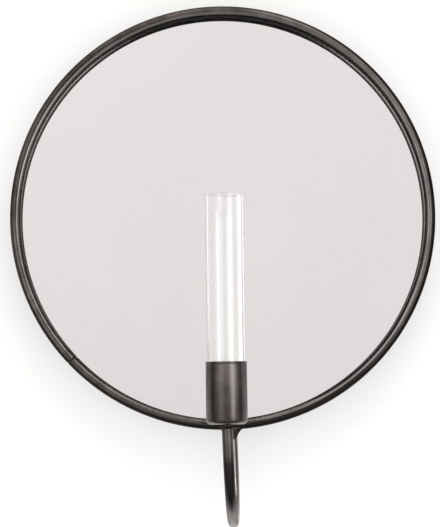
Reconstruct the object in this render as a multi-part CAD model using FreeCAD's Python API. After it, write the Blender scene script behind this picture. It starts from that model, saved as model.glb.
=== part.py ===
import FreeCAD, Part
import math
import os

from FreeCAD import Vector

# Round wall mirror in a ring of bent bar. A hooked arm under the ring carries a glass tube vase in a cup.
# Millimetres. The front faces -Y, +Z is up and the wall is the plane y = 0.
# The origin is the centre of the keyhole's round entry, on the wall plane.

# Front ring: a round bar bent to a hoop, its ends butted and welded
RING_OUTER_DIAMETER = 250.0
RING_BAR_DIAMETER = 6.0
RING_SEAM_ANGLE = 227.0
RING_SEAM_WIDTH = 0.9
RING_SEAM_DEPTH = 0.5

# Rim band: a strip hoop welded behind the bar, inset from its outline, with its back edge on the wall
BAND_INSET = 2.0
BAND_THICKNESS = 1.2

# Glass, buffer sheet and board, stacked from the bar's back, with room at their edges inside the band
GLASS_THICKNESS = 4.0
GLASS_EDGE_CHAMFER = 0.5
BUFFER_THICKNESS = 1.0
BOARD_THICKNESS = 5.0
STACK_EDGE_PLAY = 0.5
BACK_RECESS_DEPTH = 6.5

# Retaining tabs: L-shaped clips on the band that press on the board, in pairs left and right
TABS_PER_SIDE = 3
TAB_FIRST_ANGLE = 30.0
TAB_ANGLE_STEP = 60.0
TAB_WIDTH = 10.0
TAB_THICKNESS = 1.0
TAB_LIP_LENGTH = 9.0
TAB_BEND_RADIUS = 0.8
TAB_WALL_GAP = 1.0

# Keyhole hanger: a pressed plate with two flanges on the board and a raised bridge at the wall plane
HANGER_EDGE_GAP = 13.3
HANGER_THICKNESS = 1.2
HANGER_BEND_RADIUS = 1.0
HANGER_FLANGE_LENGTH = 11.0
HANGER_BRIDGE_MARGIN = 8.0
HANGER_END_MARGIN = 5.0
KEYHOLE_ENTRY_DIAMETER = 10.0
KEYHOLE_SLOT_WIDTH = 5.0
KEYHOLE_SLOT_RISE = 8.0

# Pan head screws through the hanger's flanges into the board
SCREW_DIAMETER = 3.0
SCREW_HEAD_DIAMETER = 5.8
SCREW_HEAD_HEIGHT = 2.0
SCREW_BITE = 3.8
SCREW_HOLE_PLAY = 0.2
SCREW_RECESS_WIDTH = 0.9
SCREW_RECESS_LENGTH = 3.2
SCREW_RECESS_DEPTH = 0.9

# Arm: a round bar bent to a U that leans a little sideways. Its foot stands beside the ring's lowest point.
ARM_BAR_DIAMETER = 6.0
ARM_REACH = 75.0
ARM_FOOT_OFFSET = 3.5
ARM_LEAN = 1.8
ARM_FOOT_STRAIGHT = 13.5
ARM_FRONT_STRAIGHT = 17.9

# Welds at the two ends of the arm. The bead on the ring reaches further towards the ring's lowest point.
ARM_WELD_LENGTH = 19.5
ARM_WELD_SHIFT = 1.0
ARM_WELD_SPREAD = 1.0
ARM_WELD_DROP = 6.0
ARM_WELD_WAIST = 0.3
WELD_TOE = 0.3
CUP_WELD_SPREAD = 2.0
CUP_WELD_DROP = 2.4

# Cup: drawn from sheet, with a rounded foot and a fine turned line under its rim
CUP_HEIGHT = 34.0
CUP_WALL = 0.6
CUP_FOOT_RADIUS = 2.4
CUP_RIM_RADIUS = 0.25
CUP_LINE_DROP = 1.5
CUP_LINE_WIDTH = 0.4
CUP_LINE_DEPTH = 0.18

# Glass tube: round bottom, open top with a melted rim, loose in the cup on a dished pad
TUBE_DIAMETER = 21.0
TUBE_WALL = 1.3
TUBE_LENGTH = 123.3
TUBE_PLAY = 0.2
PAD_HEIGHT = 5.0
PAD_FLOOR = 1.2
PAD_EDGE_PLAY = 0.1
PAD_EDGE_RADIUS = 0.5

# Radii
RING_RADIUS = (RING_OUTER_DIAMETER - RING_BAR_DIAMETER) / 2
RING_BAR_RADIUS = RING_BAR_DIAMETER / 2
BAND_OUTER_RADIUS = RING_OUTER_DIAMETER / 2 - BAND_INSET
BAND_INNER_RADIUS = BAND_OUTER_RADIUS - BAND_THICKNESS
STACK_RADIUS = BAND_INNER_RADIUS - STACK_EDGE_PLAY
ARM_RADIUS = ARM_BAR_DIAMETER / 2
TUBE_RADIUS = TUBE_DIAMETER / 2
CUP_INNER_RADIUS = TUBE_RADIUS + TUBE_PLAY
CUP_OUTER_RADIUS = CUP_INNER_RADIUS + CUP_WALL
CUP_INNER_FOOT_RADIUS = max(CUP_FOOT_RADIUS - CUP_WALL, CUP_WALL)

# Extent of the hanger about the keyhole's entry
HANGER_BRIDGE_HALF = KEYHOLE_ENTRY_DIAMETER / 2 + HANGER_BRIDGE_MARGIN
HANGER_TOP = KEYHOLE_SLOT_RISE + KEYHOLE_SLOT_WIDTH / 2 + HANGER_END_MARGIN
HANGER_BOTTOM = -KEYHOLE_ENTRY_DIAMETER / 2 - HANGER_END_MARGIN

# Planes across the depth, from the wall to the ring
BOARD_BACK = -BACK_RECESS_DEPTH
BUFFER_BACK = BOARD_BACK - BOARD_THICKNESS
GLASS_BACK = BUFFER_BACK - BUFFER_THICKNESS
GLASS_FRONT = GLASS_BACK - GLASS_THICKNESS
RING_Y = GLASS_FRONT - RING_BAR_RADIUS
CUP_Y = RING_Y - ARM_REACH

# Levels
RING_Z = HANGER_TOP + HANGER_EDGE_GAP - BAND_INNER_RADIUS
RING_BOTTOM = RING_Z - RING_OUTER_DIAMETER / 2
ARM_BEND_Z = RING_BOTTOM - ARM_FOOT_STRAIGHT
ARM_START_Z = RING_BOTTOM + RING_BAR_RADIUS / 2
CUP_BOTTOM = ARM_BEND_Z + ARM_FRONT_STRAIGHT
CUP_TOP = CUP_BOTTOM + CUP_HEIGHT
CUP_FLOOR_TOP = CUP_BOTTOM + CUP_WALL
TUBE_BOTTOM = CUP_FLOOR_TOP + PAD_FLOOR + TUBE_PLAY
TUBE_TOP = TUBE_BOTTOM + TUBE_LENGTH

X_AXIS = Vector(1, 0, 0)
Y_AXIS = Vector(0, 1, 0)
Z_AXIS = Vector(0, 0, 1)
RING_CENTRE = Vector(0, RING_Y, RING_Z)
CUP_AXIS_POINT = Vector(0, CUP_Y, CUP_BOTTOM)
ARM_FOOT = Vector(ARM_FOOT_OFFSET, RING_Y, ARM_START_Z)
FULL_TURN = 360.0
SHORTEST_EDGE = 1e-6


def unit(vector):
    """The vector at length one."""
    return vector * (1.0 / vector.Length)


def rounded_face(corners):
    """A flat face whose corners are (point, radius) pairs, in order. A radius of 0 stays sharp."""
    arcs = []
    for index, (point, radius) in enumerate(corners):
        if radius == 0:
            arcs.append((point, None, point))
            continue
        back = unit(corners[index - 1][0] - point)
        ahead = unit(corners[(index + 1) % len(corners)][0] - point)
        half = back.getAngle(ahead) / 2
        reach = radius / math.tan(half)
        middle = point + unit(back + ahead) * (radius / math.sin(half) - radius)
        arcs.append((point + back * reach, middle, point + ahead * reach))
    edges = []
    for index, (start, middle, end) in enumerate(arcs):
        before = arcs[index - 1][2]
        if before.distanceToPoint(start) > SHORTEST_EDGE:
            edges.append(Part.LineSegment(before, start).toShape())
        if middle is not None:
            edges.append(Part.Arc(start, middle, end).toShape())
    return Part.Face(Part.Wire(edges))


def turned_on_cup_axis(profile):
    """A solid of revolution about the cup's upright axis from (radius, level, corner radius) points."""
    corners = [(Vector(radius, CUP_Y, level), corner) for radius, level, corner in profile]
    return rounded_face(corners).revolve(CUP_AXIS_POINT, Z_AXIS, FULL_TURN)


def disc(radius, front, back):
    """A round plate on the ring's axis between two planes."""
    return Part.makeCylinder(radius, back - front, Vector(0, front, RING_Z), Y_AXIS)


def ring_bar():
    """The plain hoop of bar, before its seam."""
    return Part.makeTorus(RING_RADIUS, RING_BAR_RADIUS, RING_CENTRE, Y_AXIS)


def make_front_ring():
    """The bar hoop with the V-shaped seam of its butt weld."""
    bar_top = RING_CENTRE + Z_AXIS * RING_RADIUS
    lip = Z_AXIS * (RING_BAR_RADIUS + RING_SEAM_DEPTH)
    root = Z_AXIS * (RING_BAR_RADIUS - RING_SEAM_DEPTH)
    side = X_AXIS * RING_SEAM_WIDTH
    groove_face = rounded_face([(bar_top + lip - side, 0), (bar_top + lip + side, 0), (bar_top + root, 0)])
    groove = groove_face.revolve(bar_top, X_AXIS, FULL_TURN)
    groove.rotate(RING_CENTRE, Y_AXIS, RING_SEAM_ANGLE)
    return ring_bar().cut(groove)


def make_rim_band():
    """The strip hoop, its front edge shaped to the back of the bar."""
    hoop = disc(BAND_OUTER_RADIUS, RING_Y, 0).cut(disc(BAND_INNER_RADIUS, RING_Y, 0))
    return hoop.cut(ring_bar())


def make_mirror_glass():
    """The silvered disc with ground edges."""
    glass = disc(STACK_RADIUS, GLASS_FRONT, GLASS_BACK)
    rims = [edge for edge in glass.Edges if isinstance(edge.Curve, Part.Circle)]
    return glass.makeChamfer(GLASS_EDGE_CHAMFER, rims)


def make_buffer_sheet():
    """The thin sheet behind the silvering."""
    return disc(STACK_RADIUS, GLASS_BACK, BUFFER_BACK)


def hanger_screw_places():
    """Where the hanger's screws enter the board."""
    across = HANGER_BRIDGE_HALF + HANGER_FLANGE_LENGTH / 2
    level = (HANGER_TOP + HANGER_BOTTOM) / 2
    return [Vector(side * across, BOARD_BACK, level) for side in (-1, 1)]


def make_backing_board():
    """The board behind the glass, with the holes that the hanger's screws cut."""
    board = disc(STACK_RADIUS, BUFFER_BACK, BOARD_BACK)
    for place in hanger_screw_places():
        board = board.cut(Part.makeCylinder(SCREW_DIAMETER / 2, SCREW_BITE, place, -Y_AXIS))
    return board


def make_retaining_tab(angle):
    """One L-shaped clip: a lip on the board's back and a leg on the band's inner wall."""
    lip_end = BAND_INNER_RADIUS - TAB_LIP_LENGTH
    leg_end = -TAB_WALL_GAP
    leg_face = math.sqrt(BAND_INNER_RADIUS ** 2 - (TAB_WIDTH / 2) ** 2) - TAB_THICKNESS
    lip_face = BOARD_BACK + TAB_THICKNESS
    section = [
        (lip_end, BOARD_BACK, 0),
        (BAND_INNER_RADIUS, BOARD_BACK, TAB_BEND_RADIUS),
        (BAND_INNER_RADIUS, leg_end, 0),
        (leg_face, leg_end, 0),
        (leg_face, lip_face, TAB_BEND_RADIUS),
        (lip_end, lip_face, 0),
    ]
    corners = [(Vector(-TAB_WIDTH / 2, depth, RING_Z + height), bend) for height, depth, bend in section]
    tab = rounded_face(corners).extrude(X_AXIS * TAB_WIDTH)
    tab = tab.common(disc(BAND_INNER_RADIUS, BOARD_BACK, 0))
    tab.rotate(RING_CENTRE, Y_AXIS, angle)
    return tab


def tab_angles():
    """The tabs' places, clockwise from the top seen from the front."""
    right = [TAB_FIRST_ANGLE + TAB_ANGLE_STEP * index for index in range(TABS_PER_SIDE)]
    return right + [FULL_TURN - angle for angle in reversed(right)]


def make_hanger_plate():
    """The pressed plate: flanges on the board, a bridge at the wall plane and the keyhole through it."""
    bridge = HANGER_BRIDGE_HALF
    bridge_inside = bridge - HANGER_THICKNESS
    end = bridge + HANGER_FLANGE_LENGTH
    flange = BOARD_BACK + HANGER_THICKNESS
    inner = HANGER_BEND_RADIUS
    outer = HANGER_BEND_RADIUS + HANGER_THICKNESS
    right = [
        (bridge, 0, outer),
        (bridge, flange, inner),
        (end, flange, 0),
        (end, BOARD_BACK, 0),
        (bridge_inside, BOARD_BACK, outer),
        (bridge_inside, -HANGER_THICKNESS, inner),
    ]
    left = [(-across, depth, bend) for across, depth, bend in reversed(right)]
    corners = [(Vector(across, depth, HANGER_BOTTOM), bend) for across, depth, bend in right + left]
    plate = rounded_face(corners).extrude(Z_AXIS * (HANGER_TOP - HANGER_BOTTOM))
    entry = Part.makeCylinder(KEYHOLE_ENTRY_DIAMETER / 2, HANGER_THICKNESS, Vector(0, 0, 0), -Y_AXIS)
    slot_corner = Vector(-KEYHOLE_SLOT_WIDTH / 2, -HANGER_THICKNESS, 0)
    slot = Part.makeBox(KEYHOLE_SLOT_WIDTH, HANGER_THICKNESS, KEYHOLE_SLOT_RISE, slot_corner)
    slot_end_place = Vector(0, 0, KEYHOLE_SLOT_RISE)
    slot_end = Part.makeCylinder(KEYHOLE_SLOT_WIDTH / 2, HANGER_THICKNESS, slot_end_place, -Y_AXIS)
    plate = plate.cut(entry).cut(slot).cut(slot_end)
    for place in hanger_screw_places():
        hole_radius = SCREW_DIAMETER / 2 + SCREW_HOLE_PLAY
        plate = plate.cut(Part.makeCylinder(hole_radius, HANGER_THICKNESS, place, Y_AXIS))
    return plate


def make_hanger_screw(place):
    """One pan head screw with a cross recess, its shank in the board."""
    seat = place + Y_AXIS * HANGER_THICKNESS
    head = Part.makeCylinder(SCREW_HEAD_DIAMETER / 2, SCREW_HEAD_HEIGHT, seat, Y_AXIS)
    crown = [edge for edge in head.Edges if edge.CenterOfMass.y > seat.y + SCREW_HEAD_HEIGHT - SHORTEST_EDGE]
    head = head.makeFillet(SCREW_HEAD_HEIGHT / 2, crown)
    shank = Part.makeCylinder(SCREW_DIAMETER / 2, SCREW_BITE + HANGER_THICKNESS, seat, -Y_AXIS)
    recess_floor = seat.y + SCREW_HEAD_HEIGHT - SCREW_RECESS_DEPTH
    for across, up in ((SCREW_RECESS_LENGTH, SCREW_RECESS_WIDTH), (SCREW_RECESS_WIDTH, SCREW_RECESS_LENGTH)):
        corner = Vector(seat.x - across / 2, recess_floor, seat.z - up / 2)
        head = head.cut(Part.makeBox(across, SCREW_RECESS_DEPTH, up, corner))
    return head.fuse(shank).removeSplitter()


def make_hanger_screws():
    """Both screws as one group."""
    return Part.makeCompound([make_hanger_screw(place) for place in hanger_screw_places()])


def arm_bar():
    """The bent bar from inside the ring's bar to the cup's underside, where its leaning end is cut level."""
    bend_start = Vector(ARM_FOOT.x, ARM_FOOT.y, ARM_BEND_Z)
    bend_end = Vector(CUP_AXIS_POINT.x, CUP_AXIS_POINT.y, ARM_BEND_Z)
    bend_radius = bend_start.distanceToPoint(bend_end) / 2
    bend_lowest = (bend_start + bend_end) * 0.5 - Z_AXIS * bend_radius
    path = [Part.LineSegment(ARM_FOOT, bend_start), Part.Arc(bend_start, bend_lowest, bend_end)]
    trim = ARM_BAR_DIAMETER * math.sin(math.radians(ARM_LEAN))
    path.append(Part.LineSegment(bend_end, CUP_AXIS_POINT + Z_AXIS * trim))
    section = Part.Wire(Part.makeCircle(ARM_RADIUS, ARM_FOOT, -Z_AXIS))
    bar = Part.Wire([curve.toShape() for curve in path]).makePipeShell([section], True, False)
    bar.rotate(CUP_AXIS_POINT, Y_AXIS, -ARM_LEAN)
    return bar.cut(Part.makeCylinder(ARM_BAR_DIAMETER, ARM_BAR_DIAMETER, CUP_AXIS_POINT, Z_AXIS))


def make_arm_rod():
    """The arm, its foot shaped to the underside of the ring's bar."""
    return arm_bar().cut(ring_bar())


def weld_ring(half_length, half_width, level, shift):
    """An oval outline round the arm's foot, longer along the ring and shifted towards its lowest point."""
    oval = Part.Ellipse(Vector(ARM_FOOT.x - shift, ARM_FOOT.y, level), half_length, half_width)
    return Part.Wire(oval.toShape())


def make_arm_weld():
    """The flared bead between the arm's foot and the ring."""
    toe = ARM_RADIUS + WELD_TOE
    waist_length = toe + (ARM_WELD_LENGTH / 2 - toe) * ARM_WELD_WAIST
    waist_width = toe + ARM_WELD_SPREAD * ARM_WELD_WAIST
    waist_shift = ARM_WELD_SHIFT * ARM_WELD_WAIST
    outlines = [
        weld_ring(toe + WELD_TOE / 2, toe, RING_BOTTOM - ARM_WELD_DROP, 0),
        weld_ring(waist_length, waist_width, RING_BOTTOM - ARM_WELD_DROP / 2, waist_shift),
        weld_ring(ARM_WELD_LENGTH / 2, toe + ARM_WELD_SPREAD, ARM_START_Z, ARM_WELD_SHIFT),
    ]
    return Part.makeLoft(outlines, True, False).cut(ring_bar()).cut(arm_bar())


def make_socket_cup():
    """The drawn cup."""
    line = CUP_TOP - CUP_LINE_DROP
    return turned_on_cup_axis([
        (0, CUP_BOTTOM, 0),
        (CUP_OUTER_RADIUS, CUP_BOTTOM, CUP_FOOT_RADIUS),
        (CUP_OUTER_RADIUS, line - CUP_LINE_WIDTH / 2, 0),
        (CUP_OUTER_RADIUS - CUP_LINE_DEPTH, line, 0),
        (CUP_OUTER_RADIUS, line + CUP_LINE_WIDTH / 2, 0),
        (CUP_OUTER_RADIUS, CUP_TOP, CUP_RIM_RADIUS),
        (CUP_INNER_RADIUS, CUP_TOP, CUP_RIM_RADIUS),
        (CUP_INNER_RADIUS, CUP_FLOOR_TOP, CUP_INNER_FOOT_RADIUS),
        (0, CUP_FLOOR_TOP, 0),
    ])


def make_cup_weld():
    """The bead round the rod under the cup."""
    bottom = CUP_BOTTOM - CUP_WELD_DROP
    bore = ARM_RADIUS - WELD_TOE
    bead = turned_on_cup_axis([
        (bore, CUP_BOTTOM, 0),
        (bore, bottom, 0),
        (ARM_RADIUS + WELD_TOE, bottom, 0),
        (ARM_RADIUS + CUP_WELD_SPREAD, CUP_BOTTOM - CUP_WELD_DROP / 2, CUP_WELD_DROP / 2),
        (ARM_RADIUS + CUP_WELD_SPREAD, CUP_BOTTOM, 0),
    ])
    return bead.cut(arm_bar())


def make_tube_pad():
    """The soft pad in the cup, dished to the tube's round bottom."""
    radius = CUP_INNER_RADIUS - PAD_EDGE_PLAY
    top = CUP_FLOOR_TOP + PAD_HEIGHT
    pad = turned_on_cup_axis([
        (0, CUP_FLOOR_TOP, 0),
        (radius, CUP_FLOOR_TOP, CUP_INNER_FOOT_RADIUS),
        (radius, top, PAD_EDGE_RADIUS),
        (0, top, 0),
    ])
    tube_end_centre = Vector(CUP_AXIS_POINT.x, CUP_AXIS_POINT.y, TUBE_BOTTOM + TUBE_RADIUS)
    return pad.cut(Part.makeSphere(TUBE_RADIUS + TUBE_PLAY, tube_end_centre))


def make_glass_tube():
    """The tube, round at the bottom and open at the top."""
    bore = TUBE_RADIUS - TUBE_WALL
    return turned_on_cup_axis([
        (0, TUBE_BOTTOM, 0),
        (TUBE_RADIUS, TUBE_BOTTOM, TUBE_RADIUS),
        (TUBE_RADIUS, TUBE_TOP, TUBE_WALL / 2),
        (bore, TUBE_TOP, TUBE_WALL / 2),
        (bore, TUBE_BOTTOM + TUBE_WALL, bore),
        (0, TUBE_BOTTOM + TUBE_WALL, 0),
    ])


def main():
    """Builds every piece and writes one STEP file for each."""
    pieces = {
        "front_ring": make_front_ring(),
        "rim_band": make_rim_band(),
        "mirror_glass": make_mirror_glass(),
        "buffer_sheet": make_buffer_sheet(),
        "backing_board": make_backing_board(),
        "hanger_plate": make_hanger_plate(),
        "hanger_screws": make_hanger_screws(),
        "arm_rod": make_arm_rod(),
        "arm_weld": make_arm_weld(),
        "socket_cup": make_socket_cup(),
        "cup_weld": make_cup_weld(),
        "tube_pad": make_tube_pad(),
        "glass_tube": make_glass_tube(),
    }
    for number, angle in enumerate(tab_angles(), start=1):
        pieces[f"retaining_tab_{number}"] = make_retaining_tab(angle)
    os.makedirs("parts", exist_ok=True)
    for name, shape in pieces.items():
        shape.exportStep(os.path.join("parts", name + ".step"))
        print(name, len(shape.Solids), "solids", shape.isValid(), round(shape.Volume, 1), "mm3")


main()
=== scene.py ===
import logging
import math
from dataclasses import dataclass
from enum import Enum
from typing import Any, Callable, Sequence

import bmesh
import bpy
from mathutils import Matrix, Vector


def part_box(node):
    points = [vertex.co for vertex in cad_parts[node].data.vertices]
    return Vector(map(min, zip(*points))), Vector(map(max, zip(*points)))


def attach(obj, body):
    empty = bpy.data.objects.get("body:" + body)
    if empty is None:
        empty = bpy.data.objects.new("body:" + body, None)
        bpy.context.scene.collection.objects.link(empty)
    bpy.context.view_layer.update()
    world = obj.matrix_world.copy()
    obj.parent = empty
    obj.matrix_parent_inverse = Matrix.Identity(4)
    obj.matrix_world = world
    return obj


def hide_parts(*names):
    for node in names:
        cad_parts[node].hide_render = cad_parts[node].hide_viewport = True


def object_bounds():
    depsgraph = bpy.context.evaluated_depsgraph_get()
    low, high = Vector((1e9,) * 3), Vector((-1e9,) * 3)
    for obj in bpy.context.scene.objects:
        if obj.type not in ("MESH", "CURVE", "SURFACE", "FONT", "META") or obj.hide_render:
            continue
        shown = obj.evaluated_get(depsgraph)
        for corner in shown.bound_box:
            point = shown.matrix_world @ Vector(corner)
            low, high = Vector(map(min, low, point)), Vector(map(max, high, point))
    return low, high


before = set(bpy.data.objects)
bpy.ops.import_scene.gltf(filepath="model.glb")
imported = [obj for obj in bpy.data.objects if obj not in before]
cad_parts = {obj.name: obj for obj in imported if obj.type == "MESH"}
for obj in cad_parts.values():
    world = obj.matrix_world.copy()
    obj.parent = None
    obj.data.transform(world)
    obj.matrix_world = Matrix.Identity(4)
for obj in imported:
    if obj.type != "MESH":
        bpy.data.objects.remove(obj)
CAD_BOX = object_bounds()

LOG = logging.getLogger("round_mirror")
MM = 0.001
FULL_TURN = 2 * math.pi
MERGE_DISTANCE = 1e-7

Point = tuple[float, float]
Colour = tuple[float, float, float]
Piece = bpy.types.Object
Material = bpy.types.Material


class Body(Enum):
    """The bodies that pieces ride on."""

    MIRROR = "mirror"
    TUBE = "tube"


class Slot(Enum):
    """The material slots of the part's record."""

    DARK_STEEL = "dark_steel"
    SILVERED_GLASS = "silvered_glass"
    FOAM_SHEET = "foam_sheet"
    FIBREBOARD = "fibreboard"
    ZINC_STEEL = "zinc_steel"
    SOFT_PAD = "soft_pad"
    CLEAR_GLASS = "clear_glass"


class Grain(Enum):
    """How the fine lines of a worked steel surface run."""

    CAST = (1.0, 1.0, 1.0)
    TURNED = (0.02, 0.02, 1.0)


class Linking(Enum):
    """How a lamp treats a piece that it is linked to."""

    SPARED = "EXCLUDE"
    ALONE = "INCLUDE"


class Signal:
    """A shader socket that takes part in Python arithmetic."""

    def __init__(self, bench: "Bench", socket: bpy.types.NodeSocket) -> None:
        """Keeps the socket and the bench that it belongs to."""
        self.bench = bench
        self.socket = socket

    def math(self, operation: str, *operands: Any) -> "Signal":
        """Adds one Math node.

        Args:
            operation: the Math node's operation.
            operands: numbers or signals, in the node's order.

        Returns:
            The node's value.
        """
        return self.bench.signal("ShaderNodeMath", 0, {"operation": operation}, dict(enumerate(operands)))

    def __neg__(self) -> "Signal":
        """Minus self."""
        return self.math("MULTIPLY", self, -1.0)

    def __add__(self, other: Any) -> "Signal":
        """Self plus other."""
        return self.math("ADD", self, other)

    def __radd__(self, other: Any) -> "Signal":
        """Other plus self."""
        return self.math("ADD", other, self)

    def __sub__(self, other: Any) -> "Signal":
        """Self minus other."""
        return self.math("SUBTRACT", self, other)

    def __rsub__(self, other: Any) -> "Signal":
        """Other minus self."""
        return self.math("SUBTRACT", other, self)

    def __mul__(self, other: Any) -> "Signal":
        """Self times other."""
        return self.math("MULTIPLY", self, other)

    def __rmul__(self, other: Any) -> "Signal":
        """Other times self."""
        return self.math("MULTIPLY", other, self)

    def ramp(self, low: float, high: float) -> "Signal":
        """A smooth step.

        Args:
            low: the value that gives 0.
            high: the value that gives 1.

        Returns:
            The stepped value, from 0 to 1.
        """
        settings = {"interpolation_type": "SMOOTHSTEP"}
        inputs = {"Value": self, "From Min": low, "From Max": high}
        return self.bench.signal("ShaderNodeMapRange", "Result", settings, inputs)


class Bench:
    """A node tree, with the one method that adds any node to it."""

    def __init__(self, tree: bpy.types.NodeTree) -> None:
        """Empties the tree."""
        self.tree = tree
        tree.nodes.clear()

    def node(self, kind: str, settings: dict[str, Any], inputs: dict[Any, Any]) -> bpy.types.Node:
        """Adds a node.

        Args:
            kind: the node's type.
            settings: its own settings, set first.
            inputs: a value or a signal for each socket, by name or number.

        Returns:
            The new node.
        """
        made = self.tree.nodes.new(kind)
        for name, value in settings.items():
            setattr(made, name, value)
        for key, value in inputs.items():
            source = value.socket if isinstance(value, Signal) else value
            if isinstance(source, bpy.types.NodeSocket):
                self.tree.links.new(source, made.inputs[key])
            else:
                made.inputs[key].default_value = source
        return made

    def signal(self, kind: str, output: Any, settings: dict[str, Any], inputs: dict[Any, Any]) -> Signal:
        """Adds a node and returns one of its outputs.

        Args:
            kind: the node's type.
            output: the output's name or number.
            settings: as for node.
            inputs: as for node.

        Returns:
            The output as a signal.
        """
        return Signal(self, self.node(kind, settings, inputs).outputs[output])

    def axes(self, where: Signal) -> list[Signal]:
        """The three numbers of a vector."""
        parts = self.node("ShaderNodeSeparateXYZ", {}, {"Vector": where})
        return [Signal(self, number) for number in parts.outputs]

    def place(self) -> Signal:
        """The point on the piece, in the object's own metres."""
        return self.signal("ShaderNodeTexCoord", "Object", {}, {})

    def stretched(self, scale: Sequence[float]) -> Signal:
        """The point on the piece, scaled along each axis."""
        return self.signal("ShaderNodeMapping", 0, {}, {"Vector": self.place(), "Scale": tuple(scale)})

    def noise(self, where: Signal, scale: float, detail: float = 4.0, roughness: float = 0.55) -> Signal:
        """Cloudy noise.

        Args:
            where: the point that it is read at.
            scale: features per metre.
            detail: octaves.
            roughness: how strong the finer octaves are.

        Returns:
            The noise, around 0.5.
        """
        inputs = {"Vector": where, "Scale": scale, "Detail": detail, "Roughness": roughness}
        return self.signal("ShaderNodeTexNoise", 0, {}, inputs)

    def cells(self, output: str, scale: float) -> Signal:
        """Random cells on the piece, as many per metre as the scale says."""
        return self.signal("ShaderNodeTexVoronoi", output, {}, {"Vector": self.place(), "Scale": scale})

    def mix(self, factor: Any, first: Any, second: Any) -> Signal:
        """Blends two colours.

        Args:
            factor: 0 gives the first, 1 the second.
            first: a colour or signal.
            second: a colour or signal.

        Returns:
            The blend.
        """
        sides = [side if isinstance(side, Signal) else (*side, 1.0) for side in (first, second)]
        return self.signal("ShaderNodeMix", 2, {"data_type": "RGBA"}, {0: factor, 6: sides[0], 7: sides[1]})

    def bump(self, height: Signal, strength: float, distance: float) -> Signal:
        """A bumped normal.

        Args:
            height: the height, 0 to 1.
            strength: how much of it shows.
            distance: how high 1 stands, in metres.

        Returns:
            The normal.
        """
        inputs = {"Height": height, "Strength": strength, "Distance": distance}
        return self.signal("ShaderNodeBump", 0, {}, inputs)


def new_material(name: str) -> tuple[Material, Bench]:
    """An empty node material.

    Args:
        name: the material's name.

    Returns:
        The material and its bench.
    """
    material = bpy.data.materials.new(name)
    material.use_nodes = True
    return material, Bench(material.node_tree)


@dataclass(frozen=True)
class Finish:
    """A finish that ends in one Principled shader."""

    name: str

    def make(self) -> Material:
        """Makes the material.

        Returns:
            The material.
        """
        material, bench = new_material(self.name)
        shader = bench.node("ShaderNodeBsdfPrincipled", {}, self.surface(bench))
        bench.node("ShaderNodeOutputMaterial", {}, {"Surface": shader.outputs[0]})
        return material

    def surface(self, bench: Bench) -> dict[str, Any]:
        """The shader's inputs, here none, so that all stay as they are."""
        return {}


@dataclass(frozen=True)
class DarkSteel(Finish):
    """Oil-blackened steel under a thin lacquer, warm grey, with cloudy patches and fine working lines."""

    grain: Grain = Grain.CAST
    dark: Colour = (0.062, 0.054, 0.050)
    light: Colour = (0.115, 0.102, 0.096)
    rust: Colour = (0.120, 0.082, 0.062)
    # Painted light: the black below is the colour of painted shade, the next colour that of painted
    # highlight, which is also made smoother.
    black: Colour = (0.020, 0.018, 0.017)
    highlight_colour: Colour = (0.170, 0.155, 0.148)
    edge: Colour = (1.0, 1.0, 1.0)
    roughness: float = 0.20
    highlight_smoothing: float = 0.20
    relief: Point = (0.03, 0.08 * MM)
    lacquer: float = 0.12
    lacquer_roughness: float = 0.12

    def surface(self, bench: Bench) -> dict[str, Any]:
        """The shader's inputs.

        Args:
            bench: the material's bench.

        Returns:
            Values and signals by name.
        """
        clouds = bench.noise(bench.place(), 70.0, 6.0, 0.62)
        patches = bench.noise(bench.place(), 24.0, 3.0)
        specks = bench.noise(bench.place(), 1400.0, 2.0)
        lines = bench.noise(bench.stretched(self.grain.value), 2600.0, 3.0, 0.7)
        colour = bench.mix(clouds.ramp(0.36, 0.68), self.dark, self.light)
        colour = bench.mix(patches.ramp(0.58, 0.74) * 0.35, colour, self.rust)
        colour = bench.mix(specks.ramp(0.66, 0.76) * 0.5, colour, self.dark)
        # Painted highlight, then painted shade, where the subclasses lay them on.
        bright = self.polished(bench)
        colour = bench.mix(bright, colour, self.highlight_colour)
        colour = bench.mix(self.painted_shade(bench), colour, self.black)
        roughness = clouds * 0.10 + lines * 0.06 + (self.roughness - 0.08)
        roughness = roughness - bright * self.highlight_smoothing
        relief = lines * 0.5 + specks * 0.3 + clouds * 0.4
        return {
            "Base Color": colour,
            "Metallic": 1.0,
            "Roughness": roughness,
            "Specular Tint": (*self.edge, 1.0),
            "Coat Weight": self.lacquer,
            "Coat Roughness": self.lacquer_roughness,
            "Normal": bench.bump(relief, *self.relief),
        }

    def painted_shade(self, bench: Bench) -> Signal | float:
        """How much painted shade each point gets, here none."""
        return 0.0

    def polished(self, bench: Bench) -> Signal | float:
        """How much painted highlight each point gets, here none."""
        return 0.0


@dataclass(frozen=True)
class BarSpot:
    """A point on the ring: its place from the bar's middle in bar radii, and on the ring in ring radii."""

    outward: Signal
    backward: Signal
    high: Signal
    right: Signal

    def lower_right(self) -> Signal:
        """1 at the ring's lower right, 0 elsewhere."""
        return (self.right - self.high).ramp(1.22, 1.38)

    def beyond_line(self) -> Signal:
        """How far outside the painted highlight line the point lies.

        Returns:
            The distance from the line's outer border, in bar radii.
        """
        upper_left = (self.high - self.right).ramp(0.4, 1.4)
        low = (-self.high).ramp(0.0, 1.0)
        return self.outward - (0.04 - upper_left * 0.32 - low * 0.25)

    def mirrored_highlight_strip(self) -> Signal:
        """1 on the strip on the bar's inner rear side that is painted bright as the highlight seen in the
        mirror, 0 off it.
        """
        strip = self.backward.ramp(0.45, 0.60) * (1.0 - self.backward.ramp(0.85, 0.95))
        return strip * (-self.outward).ramp(0.3, 0.5) * (1.0 - self.high.ramp(0.72, 0.98))


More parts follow.
